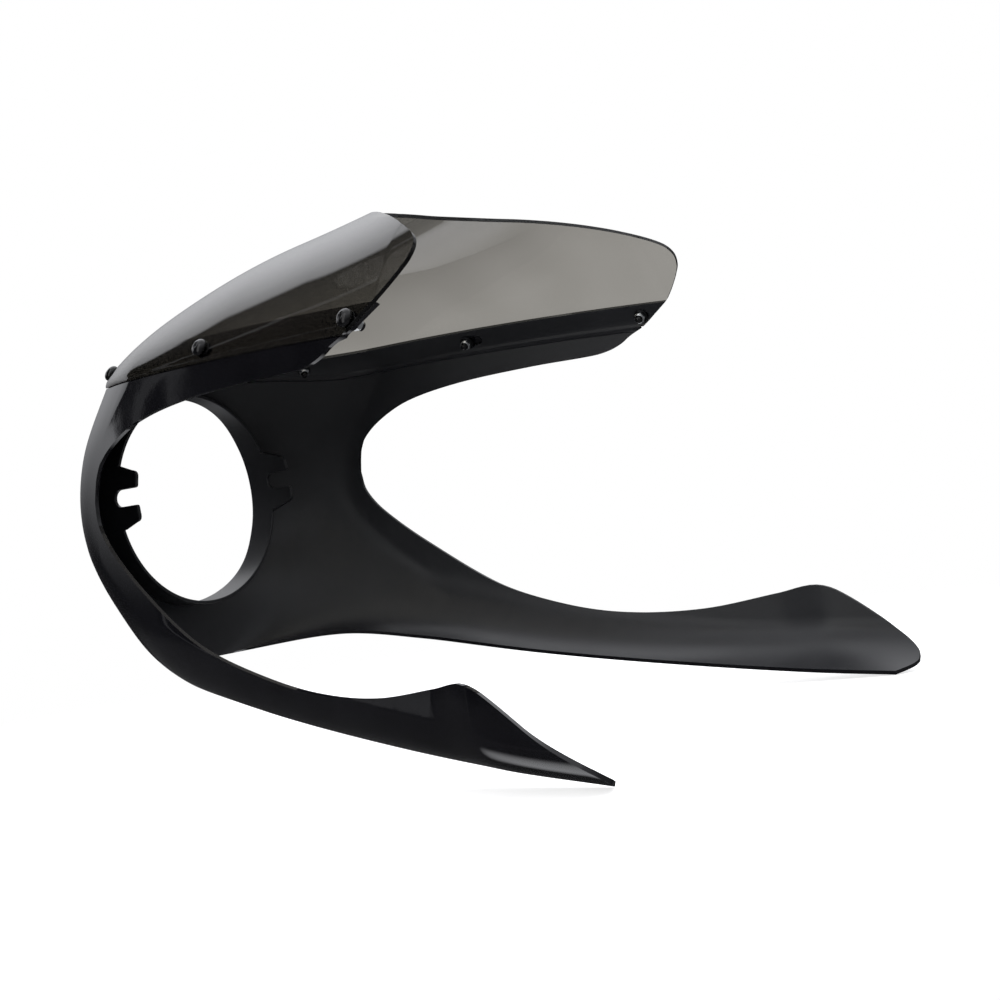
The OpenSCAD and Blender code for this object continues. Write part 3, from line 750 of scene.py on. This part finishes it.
def lock_nuts(metal, insert):
    """Hexagon nuts with turned-down corners, and a round rim rolled in over a ring of nylon."""
    bm = bmesh.new()
    seat = -GRIP - WASHER_HEIGHT - NUT_GAP
    hole = (SCREW_D + 0.2) / 2
    half = NUT_FLATS / 2
    shoulder = NUT_HEIGHT * NUT_SHOULDER
    turns = np.linspace(0, 2 * math.pi, 49)[:-1]
    flat_r = half / np.cos((turns + math.pi / 6) % (math.pi / 3) - math.pi / 6)
    chamfer = np.maximum(flat_r - half * 0.97, 0) * 0.6
    # (radius, depth from the face towards the washer); the last band but one is the nylon ring's top
    profile = [(hole, 0.35), (hole + 0.35, 0), (half * 0.96, 0), (flat_r, chamfer),
               (flat_r, shoulder - chamfer), (half * 0.97, shoulder), (half * 0.97, NUT_HEIGHT - 0.75),
               (half * 0.94, NUT_HEIGHT - 0.35), (half * 0.87, NUT_HEIGHT - 0.08), (half * 0.80, NUT_HEIGHT),
               (half * 0.73, NUT_HEIGHT - 0.12), (half * 0.70, NUT_HEIGHT - 0.35),
               (half * 0.69, NUT_HEIGHT - 0.6), (hole, NUT_HEIGHT - 0.6), (hole, 0.35)]
    for y, side in SCREW_PLACES:
        bands = turned(bm, [(radius, seat - depth) for radius, depth in profile], screw_frame(y, side))
        for face in bands[-2]:
            face.material_index = 1
    return turned_object(bm, "lock_nuts", [metal, insert], smooth=False)


def colour(text):
    """An sRGB hex colour as linear red, green, blue and 1."""
    parts = [int(text[i:i + 2], 16) / 255 for i in (1, 3, 5)]
    return [c / 12.92 if c <= 0.04045 else ((c + 0.055) / 1.055) ** 2.4 for c in parts] + [1]


def node(tree, kind, inputs=None, stops=None, **settings):
    """Adds a node, sets its properties, and sets or links its inputs."""
    made = tree.nodes.new(kind)
    for name, value in settings.items():
        setattr(made, name, value)
    for name, value in (inputs or {}).items():
        socket = made.inputs[name]
        if isinstance(value, bpy.types.NodeSocket):
            tree.links.new(value, socket)
        else:
            socket.default_value = value
    for element, (place, value) in zip(made.color_ramp.elements if stops else (), stops or ()):
        element.position, element.color = place, value
    return made


def new_material(name):
    material = bpy.data.materials.new(name)
    material.use_nodes = True
    material.node_tree.nodes.clear()
    return material, material.node_tree


def finish(tree, surface, volume=None):
    sockets = {"Surface": surface}
    if volume:
        sockets["Volume"] = volume
    node(tree, "ShaderNodeOutputMaterial", sockets)


def gloss_abs():
    """ABS moulded in a polished tool: nearly black, with a deep clear gloss, faint sink ripples of about
    25 mm and a fine orange peel of about 1.5 mm that only shows in the reflections."""
    material, tree = new_material("gloss_black_abs")
    place = node(tree, "ShaderNodeTexCoord").outputs["Object"]
    ripple = node(tree, "ShaderNodeTexNoise", {"Vector": place, "Scale": 1 / 0.025, "Detail": 2.0})
    peel = node(tree, "ShaderNodeTexNoise", {"Vector": place, "Scale": 1 / 0.0015, "Detail": 1.0})
    handling = node(tree, "ShaderNodeTexNoise", {"Vector": place, "Scale": 1 / 0.045, "Detail": 5.0})
    tone = node(tree, "ShaderNodeValToRGB", {"Fac": handling.outputs["Fac"]},
                stops=[(0.35, colour("#0c0c0f")), (0.75, colour("#131316"))])
    haze = node(tree, "ShaderNodeMapRange", {
        "Value": handling.outputs["Fac"], "From Min": 0.3, "From Max": 0.8, "To Min": 0.02, "To Max": 0.05})
    coarse = node(tree, "ShaderNodeBump", {
        "Height": ripple.outputs["Fac"], "Strength": 0.02, "Distance": 0.002})
    fine = node(tree, "ShaderNodeBump", {
        "Height": peel.outputs["Fac"], "Strength": 0.015, "Distance": 0.0002,
        "Normal": coarse.outputs["Normal"]})
    shader = node(tree, "ShaderNodeBsdfPrincipled", {
        "Base Color": tone.outputs["Color"], "Roughness": haze.outputs["Result"], "IOR": 1.53,
        "Normal": fine.outputs["Normal"]})
    finish(tree, shader.outputs["BSDF"])
    return material


def satin_abs():
    """The unpolished inside of the same moulding: a soft sheen over cloudy flow marks of about 60 mm and
    a fine grain of about 1.2 mm."""
    material, tree = new_material("satin_black_abs")
    place = node(tree, "ShaderNodeTexCoord").outputs["Object"]
    cloud = node(tree, "ShaderNodeTexNoise", {"Vector": place, "Scale": 1 / 0.06, "Detail": 6.0})
    grain = node(tree, "ShaderNodeTexNoise", {"Vector": place, "Scale": 1 / 0.0012, "Detail": 2.0})
    tone = node(tree, "ShaderNodeValToRGB", {"Fac": cloud.outputs["Fac"]},
                stops=[(0.3, colour("#1b1c1f")), (0.8, colour("#232427"))])
    sheen = node(tree, "ShaderNodeMapRange", {
        "Value": cloud.outputs["Fac"], "From Min": 0.3, "From Max": 0.75, "To Min": 0.3, "To Max": 0.42})
    bump = node(tree, "ShaderNodeBump", {
        "Height": grain.outputs["Fac"], "Strength": 0.12, "Distance": 0.0003})
    shader = node(tree, "ShaderNodeBsdfPrincipled", {
        "Base Color": tone.outputs["Color"], "Roughness": sheen.outputs["Result"], "IOR": 1.53,
        "Normal": bump.outputs["Normal"]})
    finish(tree, shader.outputs["BSDF"])
    return material


def smoked_acrylic():
    """Heat-formed smoked acrylic, dyed through: clear and glassy, a warm grey that deepens along its edges
    and where the eye looks along the sheet, with a slow waviness of about 60 mm."""
    material, tree = new_material("smoked_acrylic")
    place = node(tree, "ShaderNodeTexCoord").outputs["Object"]
    wave = node(tree, "ShaderNodeTexNoise", {"Vector": place, "Scale": 1 / 0.06, "Detail": 1.0})
    tint = node(tree, "ShaderNodeValToRGB", {"Fac": wave.outputs["Fac"]},
                stops=[(0.3, colour("#f2f3f5")), (0.75, colour("#fbfcff"))])
    bump = node(tree, "ShaderNodeBump", {
        "Height": wave.outputs["Fac"], "Strength": 0.03, "Distance": 0.003})
    slant = node(tree, "ShaderNodeLayerWeight", {"Blend": 0.5})
    depth = node(tree, "ShaderNodeMapRange", {
        "Value": slant.outputs["Facing"], "From Min": 0.3, "From Max": 0.65, "To Min": 1.0, "To Max": 0.3})
    smoke = node(tree, "ShaderNodeVectorMath", {0: tint.outputs["Color"], "Scale": depth.outputs["Result"]},
                 operation="SCALE")
    shader = node(tree, "ShaderNodeBsdfPrincipled", {
        "Base Color": smoke.outputs["Vector"], "Roughness": 0.015, "IOR": 1.49, "Transmission Weight": 1.0,
        "Normal": bump.outputs["Normal"]})
    dye = node(tree, "ShaderNodeVolumeAbsorption", {"Color": colour("#74694a"), "Density": 400.0})
    finish(tree, shader.outputs["BSDF"], dye.outputs["Volume"])
    return material


def uneven_finish(name, grain, detail, tones, roughness, shader):
    """A small part's finish. Tone and roughness both follow one fine noise, whose grain is in metres."""
    material, tree = new_material(name)
    place = node(tree, "ShaderNodeTexCoord").outputs["Object"]
    noise = node(tree, "ShaderNodeTexNoise", {"Vector": place, "Scale": 1 / grain, "Detail": detail})
    tone = node(tree, "ShaderNodeValToRGB", {"Fac": noise.outputs["Fac"]},
                stops=[(share, colour(text)) for share, text in tones])
    haze = node(tree, "ShaderNodeMapRange", {
        "Value": noise.outputs["Fac"], "To Min": roughness[0], "To Max": roughness[1]})
    surface = node(tree, "ShaderNodeBsdfPrincipled", {
        "Base Color": tone.outputs["Color"], "Roughness": haze.outputs["Result"], **shader})
    finish(tree, surface.outputs["BSDF"])
    return material


def black_enamel():
    """Baked black enamel on the steel screws, glossy, with a slightly uneven film of about 4 mm."""
    return uneven_finish("black_enamel", 0.004, 3.0, [(0.3, "#0b0b0c"), (0.8, "#121214")],
                         (0.04, 0.12), {"IOR": 1.5})


def oxide_steel():
    """Steel washers with a black oxide finish: dark, with a faint mottle of about 1.5 mm."""
    return uneven_finish("black_oxide_steel", 0.0015, 3.0, [(0.3, "#2a2b2d"), (0.8, "#3f4042")],
                         (0.25, 0.45), {"Metallic": 1.0})


def black_nylon():
    """The moulded nylon ring in each nut: dull black, with a fine mottle of about 0.8 mm."""
    return uneven_finish("black_nylon", 0.0008, 1.0, [(0.3, "#151516"), (0.8, "#222223")],
                         (0.4, 0.6), {"IOR": 1.53})


def zinc_steel():
    """Zinc-plated steel: a bright grey metal with a soft crystalline mottle of about 0.6 mm."""
    return uneven_finish("zinc_plated_steel", 0.0006, 2.0, [(0.3, "#d9dcde"), (0.75, "#eceeef")],
                         (0.1, 0.2), {"Metallic": 1.0})


# Camera, solved from the photograph
CAMERA_PLACE = Vector((1.02228, 1.07965, -0.03238))
CAMERA_AZIMUTH, CAMERA_ELEVATION, CAMERA_ROLL = 127.24, 0.191, -8.478
FOCAL_SHARE = 1.81062


def photo_camera():
    azimuth, elevation, roll = map(math.radians, (CAMERA_AZIMUTH, CAMERA_ELEVATION, CAMERA_ROLL))
    back = Vector((math.sin(azimuth) * math.cos(elevation), -math.cos(azimuth) * math.cos(elevation),
                   math.sin(elevation)))
    level = (-back).cross(Vector((0, 0, 1))).normalized()
    upright = level.cross(-back)
    right = level * math.cos(roll) + upright * math.sin(roll)
    up = upright * math.cos(roll) - level * math.sin(roll)
    data = bpy.data.cameras.new("photo_camera")
    data.sensor_width = 36
    data.lens = 36 * FOCAL_SHARE
    data.clip_end = 50
    camera = bpy.data.objects.new("photo_camera", data)
    camera.matrix_world = Matrix.Translation(CAMERA_PLACE) @ Matrix((right, up, back)).transposed().to_4x4()
    scene.collection.objects.link(camera)
    scene.camera = camera


FLOOR_HEIGHT = cad_box[0][2] - 0.0005
# The backdrop is a white wall across the camera's view. Its top and left edges show in the gloss, and
# are given as slopes from the part: how far up or left for each metre towards the wall.
BACKDROP_WAY = (-0.7521, -0.6591, 0.0)
BACKDROP_LEFT = (0.6591, -0.7521, 0.0)
BACKDROP_TOP = 0.97
BACKDROP_EDGE = 2.85
TRIM_SHADE = 0.22
FLOOR_GLOW = 0.7
FLOOR_IN_GLOSS = 0.04


def white_floor():
    """A round white sheet that fades into the white surround, and keeps the part's shadow. The gloss
    black sees little of it, as of a table that ends just behind the camera's frame."""
    material, tree = new_material("white_floor")
    path = node(tree, "ShaderNodeLightPath")
    place = node(tree, "ShaderNodeTexCoord").outputs["Object"]
    reach = node(tree, "ShaderNodeVectorMath", {0: place}, operation="LENGTH").outputs["Value"]
    seen = node(tree, "ShaderNodeMath", {
        0: path.outputs["Is Camera Ray"], 1: path.outputs["Is Transmission Ray"]},
        operation="MAXIMUM").outputs[0]
    lit = node(tree, "ShaderNodeMath", {0: seen, 1: FLOOR_GLOW}, operation="MULTIPLY").outputs[0]
    paint = node(tree, "ShaderNodeBsdfDiffuse", {"Color": colour("#f4f4f4")})
    glow = node(tree, "ShaderNodeEmission", {"Color": colour("#ffffff"), "Strength": lit})
    sheet = node(tree, "ShaderNodeAddShader", {0: paint.outputs[0], 1: glow.outputs[0]})
    clear = node(tree, "ShaderNodeBsdfTransparent")
    edge = node(tree, "ShaderNodeMapRange", {"Value": reach, "From Min": 0.85, "From Max": 0.45},
                interpolation_type="SMOOTHSTEP").outputs["Result"]
    gloss = node(tree, "ShaderNodeMath", {
        0: path.outputs["Is Glossy Ray"], 1: FLOOR_IN_GLOSS - 1, 2: 1.0},
        operation="MULTIPLY_ADD").outputs[0]
    keep = node(tree, "ShaderNodeMath", {0: edge, 1: gloss}, operation="MULTIPLY").outputs[0]
    both = node(tree, "ShaderNodeMixShader", {0: keep, 1: clear.outputs[0], 2: sheet.outputs[0]})
    finish(tree, both.outputs[0])
    bm = bmesh.new()
    bmesh.ops.create_grid(bm, x_segments=1, y_segments=1, size=1)
    floor = to_object(bm, "white_floor", [material], smooth=False)
    floor.location = (0, 0.2, FLOOR_HEIGHT)


def room_light(tree):
    """What lights the part and what it mirrors: a white wall behind it that darkens downwards, a dark
    corner at the wall's left, a paler room at the right and behind the camera, a bright ceiling, and a
    bright table beyond the part."""
    way = node(tree, "ShaderNodeTexCoord").outputs["Generated"]
    height = node(tree, "ShaderNodeSeparateXYZ", {0: way}).outputs["Z"]
    onwards = node(tree, "ShaderNodeVectorMath", {0: way, 1: BACKDROP_WAY},
                   operation="DOT_PRODUCT").outputs["Value"]
    left = node(tree, "ShaderNodeVectorMath", {0: way, 1: BACKDROP_LEFT},
                operation="DOT_PRODUCT").outputs["Value"]
    rise = node(tree, "ShaderNodeMath", {0: height, 1: onwards}, operation="DIVIDE").outputs[0]
    reach = node(tree, "ShaderNodeMath", {0: left, 1: onwards}, operation="DIVIDE").outputs[0]
    # the ceiling comes down to the wall, but not over its left end
    sag = node(tree, "ShaderNodeMapRange", {
        "Value": left, "From Min": 0.38, "From Max": 0.46, "To Max": 0.22},
        interpolation_type="SMOOTHSTEP").outputs["Result"]
    lifted = node(tree, "ShaderNodeMath", {0: height, 1: sag}, operation="SUBTRACT").outputs[0]
    # a pale rail that slopes down past the wall's edge, and a narrow window beside the wall
    slope = node(tree, "ShaderNodeMath", {0: reach, 1: 0.097, 2: rise}, operation="MULTIPLY_ADD").outputs[0]
    rail = node(tree, "ShaderNodeMath", {0: slope, 1: 1.45, 2: 0.025}, operation="COMPARE").outputs[0]
    window = node(tree, "ShaderNodeMath", {0: reach, 1: 3.07, 2: 0.06}, operation="COMPARE").outputs[0]
    marked = node(tree, "ShaderNodeMath", {0: rail, 1: window}, operation="MAXIMUM").outputs[0]
    # each part is a product of soft steps: along what, from and to where, and the shade at both
    ahead = (onwards, 0.04, 0.1, 0, 1)
    wall = ((rise, -0.1, 0.7, 0.02, 1.4), (rise, 0.75, 1.1, 1, 0.65), (reach, -0.6, 0.0, 0.3, 1), ahead,
            (rise, BACKDROP_TOP + 0.03, BACKDROP_TOP - 0.03, 0, 1),
            (reach, BACKDROP_EDGE + 0.05, BACKDROP_EDGE - 0.05, 0, 1))
    room = ((height, -0.3, 0.8, 0.1, 0.6), (left, 0.45, 0.8, 1, 0.05), (onwards, 0.1, 0.4, 1, 0.1))
    ceiling = ((lifted, 0.55, 0.68, 0, 1), (onwards, -0.1, 0.3, 0.95, 1.5))
    table = ((height, -0.56, -0.66, 0, 1), (onwards, 0.44, 0.62, 0, 1))
    trim = (ahead, (marked, 0, 1, 0, TRIM_SHADE))
    light = 0.0
    for part in (wall, room, ceiling, table, trim):
        shade = 1.0
        for along_what, start, end, low, high in part:
            step = node(tree, "ShaderNodeMapRange", {
                "Value": along_what, "From Min": start, "From Max": end, "To Min": low, "To Max": high},
                interpolation_type="SMOOTHSTEP").outputs["Result"]
            shade = node(tree, "ShaderNodeMath", {0: shade, 1: step}, operation="MULTIPLY").outputs[0]
        light = node(tree, "ShaderNodeMath", {0: light, 1: shade}, operation="MAXIMUM").outputs[0]
    return light


def studio():
    """A surround that is white to the camera and through the screen, and a lit room to everything else,
    with a softbox at the camera's left and three fills that leave no reflection."""
    white_floor()
    world = bpy.data.worlds.new("studio")
    world.use_nodes = True
    tree = world.node_tree
    tree.nodes.clear()
    path = node(tree, "ShaderNodeLightPath")
    seen = node(tree, "ShaderNodeMath", {
        0: path.outputs["Is Camera Ray"], 1: path.outputs["Is Transmission Ray"]},
        operation="MAXIMUM").outputs[0]
    white = node(tree, "ShaderNodeBackground", {"Color": colour("#ffffff"), "Strength": 1.0})
    room = node(tree, "ShaderNodeBackground", {"Color": colour("#fafbff"), "Strength": room_light(tree)})
    choose = node(tree, "ShaderNodeMixShader", {0: seen, 1: room.outputs[0], 2: white.outputs[0]})
    node(tree, "ShaderNodeOutputWorld", {"Surface": choose.outputs[0]})
    scene.world = world

    def softbox(name, place, target, width, height, power, mirrored):
        data = bpy.data.lights.new(name, "AREA")
        data.shape, data.size, data.size_y = "RECTANGLE", width, height
        data.energy = power
        made = bpy.data.objects.new(name, data)
        made.location = place
        made.rotation_euler = (Vector(target) - Vector(place)).to_track_quat("-Z", "Y").to_euler()
        made.visible_glossy = mirrored
        scene.collection.objects.link(made)

    softbox("left_softbox", (1.98, -0.07, 0.8), (0, 0.2, 0.4), 1.07, 3.6, 12, True)
    softbox("side_fill", (2.2, 0.3, 0.5), (0, 0.2, 0), 1.6, 1.6, 16, False)
    softbox("camera_fill", (1.5, 1.6, 0.5), (0, 0.2, 0), 1.2, 1.2, 2.5, False)
    softbox("overhead_fill", (0.0, 0.2, 1.8), (0, 0.2, 0), 1.8, 1.8, 10, False)


scene.view_settings.view_transform = "Standard"
photo_camera()
studio()
for piece, replaced, finish_slot in (
        (cowl_body([gloss_abs(), satin_abs()]), "cowl_shell", "body_plastic"),
        (smoked_screen(smoked_acrylic()), "windscreen", "screen_plastic"),
        (dome_screws(black_enamel()), "screen_screws", "screw_finish"),
        (flat_washers(oxide_steel()), "screen_washers", "steel"),
        (lock_nuts(zinc_steel(), black_nylon()), "screen_nuts", "steel")):
    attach(piece, "root")
    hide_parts(replaced)
